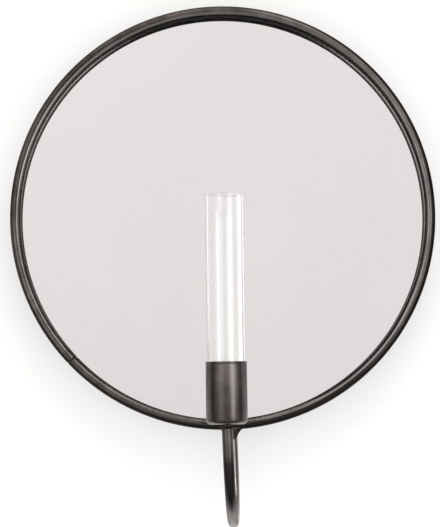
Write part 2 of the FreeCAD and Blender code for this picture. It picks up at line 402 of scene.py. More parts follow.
@dataclass(frozen=True)
class RingSteel(DarkSteel):
    """The ring's steel: a painted highlight line along the front of the bar, with painted shade in black
    beside it and behind.
    """

    level: float = 0.0
    depth: float = 0.0
    radius: float = 1.0
    bar_radius: float = 1.0
    line_shine: float = 0.15
    lip_shine: float = 0.45
    painted_shade_depth: float = 0.9

    def survey(self, bench: Bench) -> BarSpot:
        """Where a point lies on the bar and on the ring.

        Args:
            bench: the material's bench.

        Returns:
            The point.
        """
        across, deep, high = bench.axes(bench.place())
        height = high - self.level
        square = across * across + height * height
        return BarSpot(
            outward=(square.math("SQRT", square) - self.radius) * (1.0 / self.bar_radius),
            backward=(deep - self.depth) * (1.0 / self.bar_radius),
            high=height * (1.0 / self.radius),
            right=across * (1.0 / self.radius),
        )

    def polished(self, bench: Bench) -> Signal:
        """How much painted highlight each point gets.

        Args:
            bench: the material's bench.

        Returns:
            1 where the painted highlight is brightest, 0 where there is none.
        """
        spot = self.survey(bench)
        # Painted highlight: a bright line along the front of the bar, stronger at the lower right, and a
        # bright inner lip at the upper left, placed where the highlights fall.
        line = spot.outward.ramp(-0.85, -0.70) * (1.0 - spot.beyond_line().ramp(-0.1, 0.1))
        line = line * (1.0 - (-spot.high - spot.right).ramp(0.6, 1.3))
        lip = spot.outward.ramp(-0.88, -0.78) * (1.0 - spot.outward.ramp(-0.62, -0.50))
        lip = lip * (spot.high - spot.right).ramp(0.5, 1.1)
        # The painted highlight is kept off the back of the bar; the painted highlight strip on the inner
        # rear side is added after.
        painted_lit = line * (1.0 + spot.lower_right()) * self.line_shine + lip * self.lip_shine
        return painted_lit * (1.0 - spot.backward.ramp(-0.2, 0.2)) + spot.mirrored_highlight_strip()

    def painted_shade(self, bench: Bench) -> Signal:
        """How much painted shade each point gets.

        Args:
            bench: the material's bench.

        Returns:
            1 where the bar is painted black as shade, 0 where it is left lit.
        """
        spot = self.survey(bench)
        outward, high, right = spot.outward, spot.high, spot.right
        # Painted shade: the outer and inner flanks, the back, and the bar beside the highlight line at the
        # right and upper left are painted black where no highlight is to show.
        beyond = spot.beyond_line().ramp(-0.10, 0.15) * (1.0 - high.ramp(0.85, 0.98))
        outer = (outward - high * 0.60 + right * 0.30).ramp(0.55, 0.85)
        inner = (spot.lower_right() * 0.35 - outward).ramp(0.82, 0.96)
        rear = spot.backward.ramp(0.0, 0.5)
        right_side = beyond * right.ramp(-0.15, 0.35) * 0.85
        upper_left = beyond * (1.0 - outward.ramp(0.25, 0.50)) * (high - right).ramp(0.7, 1.2) * 0.6
        painted_lit = (1.0 - outer) * (1.0 - inner) * (1.0 - rear) * (1.0 - right_side) * (1.0 - upper_left)
        return (1.0 - painted_lit) * (1.0 - spot.mirrored_highlight_strip()) * self.painted_shade_depth


@dataclass(frozen=True)
class ArmSteel(DarkSteel):
    """The arm's steel: painted black as shade on the front of the bend, dull in front, and brighter and
    smoother on the limb at the ring as a painted highlight.
    """

    bend_level: float = 0.0
    lowest: float = -1.0
    middle: float = 0.0
    painted_shade_depth: float = 0.95

    def behind(self, bench: Bench) -> Signal:
        """1 on the limb at the ring, 0 on the front limb."""
        return bench.axes(bench.place())[1].ramp(self.middle - 15.0 * MM, self.middle + 5.0 * MM)

    def painted_shade(self, bench: Bench) -> Signal:
        """How much painted shade each point gets.

        Args:
            bench: the material's bench.

        Returns:
            1 on the front of the bend, 0 above it.
        """
        # Painted shade: the front of the bend is painted black, clear of the lowest part.
        height = bench.axes(bench.place())[2]
        above = height.ramp(self.bend_level - 5.0 * MM, self.bend_level + 3.0 * MM)
        clear = height.ramp(self.lowest + 6.0 * MM, self.lowest + 20.0 * MM)
        return (1.0 - above) * clear * (1.0 - self.behind(bench)) * self.painted_shade_depth

    def polished(self, bench: Bench) -> Signal:
        """The limb at the ring gets the painted highlight."""
        # Painted highlight on the limb at the ring.
        return self.behind(bench)


@dataclass(frozen=True)
class WeldSteel(Finish):
    """A weld bead blackened with the bars: rippled, duller and darker than they are."""

    dark: Colour = (0.022, 0.020, 0.019)
    light: Colour = (0.065, 0.057, 0.053)
    edge: Colour = (0.25, 0.25, 0.25)
    relief: Point = (0.5, 0.35 * MM)

    def surface(self, bench: Bench) -> dict[str, Any]:
        """The shader's inputs.

        Args:
            bench: the material's bench.

        Returns:
            Values and signals by name.
        """
        ripples = bench.noise(bench.place(), 620.0, 3.0, 0.6)
        pores = bench.noise(bench.place(), 2400.0, 2.0)
        colour = bench.mix(ripples.ramp(0.35, 0.65), self.dark, self.light)
        relief = ripples + pores * 0.3
        return {
            "Base Color": colour,
            "Metallic": 1.0,
            "Roughness": 0.50 - ripples * 0.25,
            "Specular Tint": (*self.edge, 1.0),
            "Normal": bench.bump(relief, *self.relief),
        }


@dataclass(frozen=True)
class SilverFilm(Finish):
    """The silvering seen through the glass, very slightly uneven."""

    bright: Colour = (0.955, 0.945, 0.940)
    dull: Colour = (0.935, 0.925, 0.920)
    blur: float = 0.012

    def surface(self, bench: Bench) -> dict[str, Any]:
        """The shader's inputs.

        Args:
            bench: the material's bench.

        Returns:
            Values and signals by name.
        """
        haze = bench.noise(bench.place(), 9.0, 3.0)
        colour = bench.mix(haze.ramp(0.3, 0.7), self.bright, self.dull)
        return {"Base Color": colour, "Metallic": 1.0, "Roughness": haze * self.blur}


@dataclass(frozen=True)
class ClearGlass(Finish):
    """Clear glass with the faint lengthwise streaks of a drawn tube."""

    tint: Colour = (0.990, 0.997, 0.994)
    smear_shade: float = 0.985
    ior: float = 1.47
    streaks: Point = (0.02, 0.05 * MM)
    roughness: float = 0.09

    def surface(self, bench: Bench) -> dict[str, Any]:
        """The shader's inputs.

        Args:
            bench: the material's bench.

        Returns:
            Values and signals by name.
        """
        drawn = bench.noise(bench.stretched((1.0, 1.0, 0.03)), 420.0, 2.0)
        smear = bench.noise(bench.place(), 60.0, 4.0)
        smeared = tuple(self.smear_shade * part for part in self.tint)
        colour = bench.mix(smear.ramp(0.45, 0.8) * 0.5, self.tint, smeared)
        return {
            "Base Color": colour,
            "Roughness": smear * 0.02 + self.roughness,
            "IOR": self.ior,
            "Transmission Weight": 1.0,
            "Normal": bench.bump(drawn, *self.streaks),
        }


@dataclass(frozen=True)
class SheetGlass(Finish):
    """The clear front of the mirror's glass, with the faintest of wiped smears on it."""

    tint: Colour = (0.60, 0.64, 0.62)
    veil: float = 0.012
    ior: float = 1.52

    def surface(self, bench: Bench) -> dict[str, Any]:
        """The shader's inputs.

        Args:
            bench: the material's bench.

        Returns:
            Values and signals by name.
        """
        smear = bench.noise(bench.stretched((1.0, 1.0, 0.5)), 14.0, 5.0, 0.6)
        return {
            "Base Color": (*self.tint, 1.0),
            "Roughness": smear * 0.02,
            "IOR": self.ior,
            "Alpha": smear.ramp(0.35, 0.75) * self.veil + self.veil,
        }


@dataclass(frozen=True)
class GroundEdge(Finish):
    """The ground edge of the mirror's glass, greenish, and painted dark as the shade behind the bar."""

    pale: Colour = (0.10, 0.11, 0.105)
    green: Colour = (0.05, 0.07, 0.06)
    relief: Point = (0.3, 0.1 * MM)

    def surface(self, bench: Bench) -> dict[str, Any]:
        """The shader's inputs.

        Args:
            bench: the material's bench.

        Returns:
            Values and signals by name.
        """
        scratches = bench.noise(bench.place(), 1800.0, 4.0, 0.7)
        colour = bench.mix(scratches.ramp(0.3, 0.7), self.green, self.pale)
        return {
            "Base Color": colour,
            "Roughness": 0.35 + scratches * 0.25,
            "Normal": bench.bump(scratches, *self.relief),
        }


@dataclass(frozen=True)
class Fibreboard(Finish):
    """Brown pressed board: matted fibres, dark flecks and a faint sheen on its pressed face."""

    brown: Colour = (0.235, 0.140, 0.075)
    pale: Colour = (0.345, 0.225, 0.130)
    fleck: Colour = (0.095, 0.055, 0.030)
    relief: Point = (0.35, 0.25 * MM)

    def surface(self, bench: Bench) -> dict[str, Any]:
        """The shader's inputs.

        Args:
            bench: the material's bench.

        Returns:
            Values and signals by name.
        """
        fibres = bench.noise(bench.stretched((1.0, 0.6, 2.6)), 520.0, 6.0, 0.7)
        cross = bench.noise(bench.stretched((2.6, 0.6, 1.0)), 430.0, 6.0, 0.7)
        blotches = bench.noise(bench.place(), 28.0, 4.0)
        flecks = bench.noise(bench.stretched((1.4, 1.0, 0.8)), 900.0, 2.0)
        matted = fibres * 0.5 + cross * 0.5
        colour = bench.mix(matted.ramp(0.38, 0.62), self.brown, self.pale)
        colour = bench.mix(blotches.ramp(0.4, 0.7) * 0.35, colour, self.brown)
        colour = bench.mix(flecks.ramp(0.68, 0.74) * 0.8, colour, self.fleck)
        return {
            "Base Color": colour,
            "Roughness": 0.62 + matted * 0.2,
            "Normal": bench.bump(matted, *self.relief),
        }


@dataclass(frozen=True)
class ZincSteel(Finish):
    """Zinc-plated steel with a faint bluish spangle and handling marks."""

    bright: Colour = (0.62, 0.63, 0.65)
    dull: Colour = (0.44, 0.45, 0.48)
    relief: Point = (0.1, 0.08 * MM)

    def surface(self, bench: Bench) -> dict[str, Any]:
        """The shader's inputs.

        Args:
            bench: the material's bench.

        Returns:
            Values and signals by name.
        """
        spangle = bench.cells("Color", 380.0)
        level = bench.signal("ShaderNodeSeparateColor", 0, {}, {"Color": spangle})
        marks = bench.noise(bench.stretched((0.3, 1.0, 1.4)), 1500.0, 4.0, 0.7)
        stains = bench.noise(bench.place(), 130.0, 3.0)
        colour = bench.mix(level * 0.45 + stains * 0.4, self.bright, self.dull)
        return {
            "Base Color": colour,
            "Metallic": 1.0,
            "Roughness": 0.26 + level * 0.1 + marks * 0.14,
            "Normal": bench.bump(marks, *self.relief),
        }


@dataclass(frozen=True)
class FoamSheet(Finish):
    """Thin white packing foam with its closed cells."""

    white: Colour = (0.80, 0.80, 0.78)
    grey: Colour = (0.62, 0.62, 0.61)
    relief: Point = (0.4, 0.3 * MM)

    def surface(self, bench: Bench) -> dict[str, Any]:
        """The shader's inputs.

        Args:
            bench: the material's bench.

        Returns:
            Values and signals by name.
        """
        cells = bench.cells("Distance", 900.0)
        colour = bench.mix(cells.ramp(0.1, 0.7), self.grey, self.white)
        return {
            "Base Color": colour,
            "Roughness": 0.7 + cells * 0.2,
            "Normal": bench.bump(cells, *self.relief),
        }


@dataclass(frozen=True)
class FeltPad(Finish):
    """Black pressed felt with its fuzzy fibres."""

    black: Colour = (0.018, 0.017, 0.017)
    grey: Colour = (0.060, 0.057, 0.055)
    relief: Point = (0.6, 0.3 * MM)
    sheen: float = 0.3

    def surface(self, bench: Bench) -> dict[str, Any]:
        """The shader's inputs.

        Args:
            bench: the material's bench.

        Returns:
            Values and signals by name.
        """
        fuzz = bench.noise(bench.place(), 2200.0, 5.0, 0.75)
        tufts = bench.noise(bench.place(), 480.0, 3.0)
        colour = bench.mix((fuzz * 0.6 + tufts * 0.4).ramp(0.36, 0.66), self.black, self.grey)
        return {
            "Base Color": colour,
            "Roughness": 0.85 + fuzz * 0.1,
            "Sheen Weight": self.sheen,
            "Normal": bench.bump(fuzz, *self.relief),
        }


def rounded_path(corners: Sequence[tuple[float, float, float]], steps: int) -> list[Point]:
    """An open outline with rounded corners.

    Args:
        corners: (radius from the axis, level, corner radius) in order.
        steps: segments in each rounded corner.

    Returns:
        The outline's points.
    """
    points: list[Point] = []
    for index, (across, up, radius) in enumerate(corners):
        corner = Vector((across, up))
        if radius == 0:
            points.append((across, up))
            continue
        back = (Vector(corners[index - 1][:2]) - corner).normalized()
        ahead = (Vector(corners[index + 1][:2]) - corner).normalized()
        half = back.angle(ahead) / 2
        centre = corner + (back + ahead).normalized() * (radius / math.sin(half))
        first = corner + back * (radius / math.tan(half)) - centre
        last = corner + ahead * (radius / math.tan(half)) - centre
        turn = first.angle_signed(last)
        for step in range(steps + 1):
            spoke = Matrix.Rotation(-turn * step / steps, 2) @ first
            points.append(tuple(centre + spoke))
    return points


class Workshop:
    """The few modelling moves that the sub-assemblies share, each made with Blender's own operators."""

    @staticmethod
    def clear_bench() -> None:
        """Leaves edit mode and deselects everything."""
        if bpy.context.object and bpy.context.object.mode != "OBJECT":
            bpy.ops.object.mode_set(mode="OBJECT")
        bpy.ops.object.select_all(action="DESELECT")

    @staticmethod
    def open_mesh() -> None:
        """Settles the new mesh in its place and selects all of it in edit mode."""
        bpy.ops.object.transform_apply(location=True, rotation=True, scale=True)
        bpy.ops.object.mode_set(mode="EDIT")
        bpy.ops.mesh.select_all(action="SELECT")

    @staticmethod
    def open_disc(radius: float, sides: int, place: Vector) -> None:
        """Lays a level disc and opens it, as the start of a bar.

        Args:
            radius: its radius.
            sides: its corners.
            place: its middle.
        """
        Workshop.clear_bench()
        bpy.ops.mesh.primitive_circle_add(vertices=sides, radius=radius, fill_type="NGON", location=place)
        Workshop.open_mesh()

    @staticmethod
    def push(step: Sequence[float]) -> None:
        """Extrudes what is selected by a step."""
        bpy.ops.mesh.extrude_region_move(TRANSFORM_OT_translate={"value": step})

    @staticmethod
    def pick(test: Callable[[Vector], bool]) -> None:
        """Selects the vertices of the mesh in edit mode that pass a test on their place.

        Args:
            test: says whether a place is picked.
        """
        mesh = bmesh.from_edit_mesh(bpy.context.edit_object.data)
        for element in (*mesh.faces, *mesh.edges, *mesh.verts):
            element.select = False
        for vertex in mesh.verts:
            vertex.select = test(vertex.co)
        mesh.select_flush(True)
        bmesh.update_edit_mesh(bpy.context.edit_object.data)

    @staticmethod
    def tidy(name: str, angle: float = 40.0) -> Piece:
        """Ends a piece: merges doubles, points faces outwards, applies its place and smooths it.

        Args:
            name: the piece's name.
            angle: edges sharper than this many degrees stay sharp.

        Returns:
            The finished object.
        """
        piece = bpy.context.object
        bpy.ops.object.mode_set(mode="EDIT")
        bpy.ops.mesh.select_all(action="SELECT")
        bpy.ops.mesh.remove_doubles(threshold=MERGE_DISTANCE)
        bpy.ops.mesh.normals_make_consistent(inside=False)
        bpy.ops.object.mode_set(mode="OBJECT")
        bpy.ops.object.transform_apply(location=True, rotation=True, scale=True)
        bpy.ops.object.shade_smooth_by_angle(angle=math.radians(angle))
        piece.name = name
        piece.data.name = name
        return piece

    @staticmethod
    def turned(name: str, outline: Sequence[Point], axis: Point, sides: int, closed: bool) -> Piece:
        """Turns an outline about an upright axis: a vertex is extruded along it, then spun.

        Args:
            name: the piece's name.
            outline: (radius, level) points in order.
            axis: where the axis stands in X and Y.
            sides: steps of the full turn.
            closed: whether the outline's last point joins its first.

        Returns:
            The turned solid.
        """
        Workshop.clear_bench()
        start = Vector((axis[0] + outline[0][0], axis[1], outline[0][1]))
        bpy.ops.mesh.primitive_plane_add(size=MM, location=start)
        Workshop.open_mesh()
        bpy.ops.mesh.merge(type="CENTER")
        for before, after in zip(outline, outline[1:]):
            Workshop.push((after[0] - before[0], 0.0, after[1] - before[1]))
        bpy.ops.mesh.select_all(action="SELECT")
        if closed:
            ends = (start, Vector((axis[0] + outline[-1][0], axis[1], outline[-1][1])))
            Workshop.pick(lambda place: min((place - end).length for end in ends) < MERGE_DISTANCE)
            bpy.ops.mesh.edge_face_add()
            bpy.ops.mesh.select_all(action="SELECT")
        bpy.ops.mesh.spin(steps=sides, angle=FULL_TURN, center=(*axis, 0.0), axis=(0, 0, 1))
        return Workshop.tidy(name)

    @staticmethod
    def modify(piece: Piece, kind: str, settings: dict[str, Any]) -> None:
        """Adds a modifier and applies it.

        Args:
            piece: the object.
            kind: the modifier's type.
            settings: its settings.
        """
        bpy.context.view_layer.objects.active = piece
        modifier = piece.modifiers.new(kind.title(), kind)
        for key, value in settings.items():
            setattr(modifier, key, value)
        bpy.ops.object.modifier_apply(modifier=modifier.name)

    @staticmethod
    def roughen(piece: Piece, size: float, height: float) -> None:
        """Moves the surface in and out by cloudy noise.

        Args:
            piece: the object.
            size: the noise's grain, in metres.
            height: how far the surface moves, in metres.
        """
        clouds = bpy.data.textures.new(piece.name + "_clouds", "CLOUDS")
        clouds.noise_scale = size
        clouds.noise_depth = 2
        settings = {"texture": clouds, "texture_coords": "LOCAL", "strength": height, "mid_level": 0.5}
        Workshop.modify(piece, "DISPLACE", settings)


def dress(piece: Piece, *finishes: Material) -> None:
    """Gives an object its finishes.

    Args:
        piece: a new piece or a node of the frame.
        finishes: one material for each slot.
    """
    piece.data.materials.clear()
    for finish in finishes:
        piece.data.materials.append(finish)


def install(piece: Piece, body: Body, slot: Slot, *nodes: str) -> None:
    """Puts a piece on its body, hides the nodes that it replaces and logs it.

    Args:
        piece: the new piece.
        body: the body that it rides on.
        slot: the record's material slot; not used.
        nodes: the nodes that it replaces.
    """
    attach(piece, body.value)
    if nodes:
        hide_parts(*nodes)
    LOG.info("%s rides on %s, %d faces", piece.name, body.value, len(piece.data.polygons))


@dataclass
class RingFrame:
    """The ring of bent bar, the strip band behind it, their welds and the tabs that hold the board."""

    seam_angle: float = 227.0
    seam_half_width: float = 0.35 * MM
    seam_depth: float = 0.18
    seam_shoulder: float = 2.2
    seam_swell: float = 1.015
    around_ring: int = 384
    around_bar: int = 40
    tack_count: int = 9
    tack_length: float = 7.0 * MM
    tack_width: float = 1.7 * MM
    tack_lift: float = 0.2 * MM
    tack_depth: float = 0.95
    tack_ripple: Point = (1.1 * MM, 0.45 * MM)
    band_edge: float = 0.25 * MM
    band_start: float = 0.7
    glass_gap: float = 0.5 * MM

    def __post_init__(self) -> None:
        """Reads the ring's place and sizes from the frame."""
        low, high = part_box("front_ring")
        self.centre = (low + high) / 2
        self.bar_radius = (high.y - low.y) / 2
        self.radius = (high.x - low.x) / 2 - self.bar_radius

    def spoke(self, degrees: float) -> Vector:
        """The direction from the ring's centre, clockwise from the top as seen from the front."""
        angle = math.radians(degrees)
        return Vector((math.sin(angle), 0.0, math.cos(angle)))

    def build_ring(self, steel: Material) -> None:
        """The bar hoop, hand bent, with the butt seam of its ends.

        Args:
            steel: its finish.
        """
        Workshop.clear_bench()
        bpy.ops.mesh.primitive_torus_add(
            location=self.centre,
            rotation=(math.pi / 2, 0, 0),
            major_segments=self.around_ring,
            minor_segments=self.around_bar,
            major_radius=self.radius,
            minor_radius=self.bar_radius,
        )
        Workshop.open_mesh()
        spoke = self.spoke(self.seam_angle)
        along = Vector((spoke.z, 0.0, -spoke.x))
        seam = self.centre + spoke * self.radius
        far, swell = self.seam_shoulder, self.seam_swell
        for offset in (-far, -1.0, 0.0, 1.0, far):
            bpy.ops.mesh.select_all(action="SELECT")
            cut = seam + along * (offset * self.seam_half_width)
            bpy.ops.mesh.bisect(plane_co=cut, plane_no=along)
        for offset, scale in ((0.0, 1.0 - self.seam_depth), (far, swell), (-far, swell)):
            ring_place = seam + along * (offset * self.seam_half_width)
            Workshop.pick(
                lambda place: abs((place - ring_place).dot(along)) < MERGE_DISTANCE * 10
                and (place - seam).length < self.bar_radius * 2
            )
            bpy.ops.transform.resize(value=(scale,) * 3, center_override=ring_place)
        piece = Workshop.tidy("ring_bar", 60.0)
        dress(piece, steel)
        install(piece, Body.MIRROR, Slot.DARK_STEEL, "front_ring")

    def build_band(self, steel: Material) -> None:
        """The strip band, with its edges eased.

        Args:
            steel: its finish.
        """
        low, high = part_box("rim_band")
        outer = (high.x - low.x) / 2
        wall = outer - (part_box("mirror_glass")[1].x + self.glass_gap)
        front = self.centre.y + self.bar_radius * self.band_start
        Workshop.clear_bench()
        bpy.ops.mesh.primitive_cylinder_add(
            vertices=self.around_ring // 2,
            radius=outer,
            depth=high.y - front,
            end_fill_type="NOTHING",
            location=(self.centre.x, (front + high.y) / 2, self.centre.z),
            rotation=(math.pi / 2, 0, 0),
        )
        piece = Workshop.tidy("band_strip")
        Workshop.modify(piece, "SOLIDIFY", {"thickness": wall, "offset": -1.0})
        Workshop.modify(piece, "BEVEL", {"width": self.band_edge, "segments": 2, "limit_method": "ANGLE"})
        bpy.ops.object.shade_smooth_by_angle(angle=math.radians(35.0))
        dress(piece, steel)
        install(piece, Body.MIRROR, Slot.DARK_STEEL, "rim_band")

    def build_tack_welds(self, weld: Material) -> None:
        """The short beads outside, in the corner between the bar and the band.

        Args:
            weld: their finish.
        """
        band_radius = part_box("rim_band")[1].x
        step = FULL_TURN / self.tack_count
        spoke = self.spoke(math.degrees(step / 2))
        spot = self.centre + spoke * (band_radius + self.tack_lift)
        spot.y += self.bar_radius * self.tack_depth
        Workshop.clear_bench()
        bpy.ops.mesh.primitive_uv_sphere_add(segments=24, ring_count=12, radius=0.5, location=spot)
        bpy.context.object.rotation_euler = (0.0, step / 2, 0.0)
        bpy.context.object.scale = (self.tack_length, self.tack_width, self.tack_width)
        bead = Workshop.tidy("ring_tack_weld_1")
        Workshop.roughen(bead, *self.tack_ripple)
        dress(bead, weld)
        about = Matrix.Translation(self.centre)
        for index in range(self.tack_count):
            copy = bead
            if index:
                copy = bead.copy()
                copy.data = bead.data.copy()
                copy.name = copy.data.name = f"ring_tack_weld_{index + 1}"
                bpy.context.scene.collection.objects.link(copy)
                copy.data.transform(about @ Matrix.Rotation(step * index, 4, "Y") @ about.inverted())
            install(copy, Body.MIRROR, Slot.DARK_STEEL)

    def dress_tabs(self, steel: Material) -> None:
        """The tabs keep their own shape.

        Args:
            steel: the frame's finish.
        """
        for name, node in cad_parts.items():
            if name.startswith("retaining_tab"):
                dress(node, steel)


@dataclass
class MirrorStack:
    """The silvered glass, the sheet behind it and the board."""

    sides: int = 256
    arris: float = 0.25 * MM
    film_gap: float = 0.05 * MM
    board_edge: float = 0.6 * MM

    def plate(self, name: str, node: str, edge: float) -> Piece:
        """A round plate in a node's place, with bevelled rims and a hair's gap behind it.

        Args:
            name: the piece's name.
            node: the node whose box it fills.
            edge: the bevel's width.

        Returns:
            The plate.
        """
        low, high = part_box(node)
        high.y -= self.film_gap
        Workshop.clear_bench()
        bpy.ops.mesh.primitive_cylinder_add(
            vertices=self.sides,
            radius=(high.x - low.x) / 2,
            depth=high.y - low.y,
            location=(low + high) / 2,
            rotation=(math.pi / 2, 0, 0),
        )
        piece = Workshop.tidy(name)
        Workshop.modify(piece, "BEVEL", {"width": edge, "segments": 1, "limit_method": "ANGLE"})
        bpy.ops.object.shade_smooth_by_angle(angle=math.radians(20.0))
        return piece

    def build_mirror(self, glass: Material, film: Material, edge: Material) -> None:
        """The mirror: clear in front, silvered behind, ground at its edge.

        Args:
            glass: the front face.
            film: the silvering on the back face.
            edge: the rim.
        """
        piece = self.plate("mirror_disc", "mirror_glass", self.arris)
        dress(piece, glass, film, edge)
        for face in piece.data.polygons:
            if abs(face.normal.y) < 0.9:
                face.material_index = 2
            else:
                face.material_index = 0 if face.normal.y < 0 else 1
        install(piece, Body.MIRROR, Slot.SILVERED_GLASS, "mirror_glass")

    def build_board(self, board: Material) -> None:
        """The board, with its sawn edge eased.

        Args:
            board: its finish.
        """
        piece = self.plate("back_board", "backing_board", self.board_edge)
        dress(piece, board)
        install(piece, Body.MIRROR, Slot.FIBREBOARD, "backing_board")

    def dress_sheet(self, foam: Material) -> None:
        """The buffer sheet keeps its own shape."""
        dress(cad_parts["buffer_sheet"], foam)


@dataclass
class Hanger:
    """The keyhole plate and its screws, which keep their own shapes."""

    def dress(self, zinc: Material) -> None:
        """Both get the zinc finish."""
        for name in ("hanger_plate", "hanger_screws"):
            dress(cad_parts[name], zinc)


@dataclass
class VaseArm:
    """The hooked arm, its welds, the cup on it and the pad in the cup."""

    around_bar: int = 40
    bend_steps: int = 72
    foot_offset: float = 3.5 * MM
    foot_straight: float = 13.5 * MM
    lean_degrees: float = 1.8
    cup_sides: int = 160
    corner_steps: int = 6
    wall: float = 0.6 * MM
    foot_radius: float = 2.4 * MM
    rim_radius: float = 0.28 * MM
    line_drop: float = 1.5 * MM
    line_half_width: float = 0.3 * MM
    line_depth: float = 0.16 * MM
    bar_sunk: float = 0.5
    weld_sunk: float = 0.55
    weld_sides: int = 48
    weld_rings: int = 9
    weld_toe: float = 0.15 * MM
    weld_spread: float = 0.6 * MM
    weld_flare: float = 2.4
    weld_ripple: Point = (1.3 * MM, 0.4 * MM)
    bead_sides: int = 64
    bead_bore: float = 0.8
    bead_toe: float = 0.1 * MM
    bead_lap: float = 0.05 * MM
    bead_ripple: Point = (1.2 * MM, 0.35 * MM)

    def __post_init__(self) -> None:
        """Reads the arm's and the cup's places and sizes from the frame."""
        low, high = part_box("socket_cup")
        self.cup_low = low
        self.cup_high = high
        self.cup_radius = (high.x - low.x) / 2
        self.axis = ((low.x + high.x) / 2, (low.y + high.y) / 2)
        arm_low, arm_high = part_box("arm_rod")
        ring_low, ring_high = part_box("front_ring")
        self.ring_bottom = ring_low.z
        self.ring_bar_radius = (ring_high.y - ring_low.y) / 2
        self.bar_radius = self.axis[1] - arm_low.y
        self.foot = Vector((self.axis[0] + self.foot_offset, arm_high.y - self.bar_radius, ring_low.z))
        self.bend_centre = Vector(((self.foot.x + self.axis[0]) / 2, (self.foot.y + self.axis[1]) / 2, 0.0))
        self.bend_centre.z = ring_low.z - self.foot_straight

    def build_arm(self, steel: Material) -> None:
        """The bar: a circle pushed down the back limb, spun round the bend and pushed up to the cup.

        Args:
            steel: its finish.
        """
        top = self.ring_bottom + self.ring_bar_radius * self.bar_sunk
        Workshop.open_disc(self.bar_radius, self.around_bar, Vector((self.foot.x, self.foot.y, top)))
        Workshop.push((0.0, 0.0, self.bend_centre.z - top))
        forward = (Vector(self.axis) - self.foot.xy).normalized()
        across = Vector((-forward.y, forward.x, 0.0))
        bpy.ops.mesh.spin(steps=self.bend_steps, angle=math.pi, center=self.bend_centre, axis=across)
        Workshop.push((0.0, 0.0, self.cup_low.z - self.bend_centre.z))
        bpy.ops.mesh.select_all(action="SELECT")
        pivot = (*self.axis, self.cup_low.z)
        lean = math.radians(self.lean_degrees)
        bpy.ops.transform.rotate(value=lean, orient_axis="Y", center_override=pivot)
        piece = Workshop.tidy("arm_bar", 60.0)
        dress(piece, steel)
        install(piece, Body.MIRROR, Slot.DARK_STEEL, "arm_rod")

    def build_ring_weld(self, weld: Material) -> None:
        """The flared bead at the arm's foot, longer along the ring.

        Args:
            weld: its finish.
        """
        low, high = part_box("arm_weld")
        toe = self.bar_radius + self.weld_toe
        top = self.ring_bottom + self.ring_bar_radius * self.weld_sunk
        length, width = toe, toe
        middle = Vector((self.foot.x, self.foot.y, low.z))
        Workshop.open_disc(toe, self.weld_sides, middle)
        for step in range(1, self.weld_rings + 1):
            share = step / self.weld_rings
            new_length = toe + ((high.x - low.x) / 2 - toe) * share ** self.weld_flare
            new_width = toe + self.weld_spread * share
            across = self.foot.x + ((high.x + low.x) / 2 - self.foot.x) * share ** 2
            new_middle = Vector((across, self.foot.y, low.z + (top - low.z) * share))
            Workshop.push(new_middle - middle)
            scale = (new_length / length, new_width / width, 1.0)
            bpy.ops.transform.resize(value=scale, center_override=new_middle)
            length, width, middle = new_length, new_width, new_middle
        piece = Workshop.tidy("arm_foot_weld", 60.0)
        Workshop.modify(piece, "SUBSURF", {"levels": 1, "render_levels": 1})
        Workshop.roughen(piece, *self.weld_ripple)
        dress(piece, weld)
        install(piece, Body.MIRROR, Slot.DARK_STEEL, "arm_weld")

    def build_cup(self, steel: Material) -> None:
        """The drawn cup with its rounded foot, its fine turned line and its eased rim.

        Args:
            steel: its finish.
        """
        outer, inner = self.cup_radius, self.cup_radius - self.wall
        low, top = self.cup_low.z, self.cup_high.z
        line = top - self.line_drop
        outline = rounded_path([
            (0.0, low, 0.0),
            (outer, low, self.foot_radius),
            (outer, line - self.line_half_width, 0.0),
            (outer - self.line_depth, line, 0.0),
            (outer, line + self.line_half_width, 0.0),
            (outer, top, self.rim_radius),
            (inner, top, self.rim_radius),
            (inner, low + self.wall, self.foot_radius - self.wall),
            (0.0, low + self.wall, 0.0),
        ], self.corner_steps)
        piece = Workshop.turned("vase_cup", outline, self.axis, self.cup_sides, False)
        dress(piece, steel)
        install(piece, Body.MIRROR, Slot.DARK_STEEL, "socket_cup")

    def build_cup_weld(self, weld: Material) -> None:
        """The uneven bead under the cup.

        Args:
            weld: its finish.
        """
        low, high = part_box("cup_weld")
        bead = (high.x - low.x) / 2
        bore = self.bar_radius * self.bead_bore
        top = high.z + self.bead_lap
        outline = rounded_path([
            (bore, top, 0.0),
            (bore, low.z, 0.0),
            (self.bar_radius + self.bead_toe, low.z, 0.0),
            (bead, (low.z + high.z) / 2, (high.z - low.z) / 3),
            (bead, top, 0.0),
        ], self.corner_steps)
        piece = Workshop.turned("cup_foot_weld", outline, self.axis, self.bead_sides, True)
        Workshop.roughen(piece, *self.bead_ripple)
        dress(piece, weld)
        install(piece, Body.MIRROR, Slot.DARK_STEEL, "cup_weld")

    def dress_pad(self, felt: Material) -> None:
        """The pad in the cup keeps its own shape."""
        dress(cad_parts["tube_pad"], felt)


@dataclass
class TubeVase:
    """The clear glass tube that lifts out of the cup."""

    wall: float = 1.3 * MM
    sides: int = 192
    round_steps: int = 20

    def build(self, glass: Material) -> None:
        """The tube with its round bottom and melted rim.

        Args:
            glass: its finish.
        """
        low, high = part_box("glass_tube")
        outer = (high.x - low.x) / 2
        bore = outer - self.wall
        axis = ((low.x + high.x) / 2, (low.y + high.y) / 2)
        outline = rounded_path([
            (0.0, low.z, 0.0),
            (outer, low.z, outer),
            (outer, high.z, self.wall / 2),
            (bore, high.z, self.wall / 2),
            (bore, low.z + self.wall, bore),
            (0.0, low.z + self.wall, 0.0),
        ], self.round_steps)
        piece = Workshop.turned("tube_glass", outline, axis, self.sides, False)
        dress(piece, glass)
        install(piece, Body.TUBE, Slot.CLEAR_GLASS, "glass_tube")


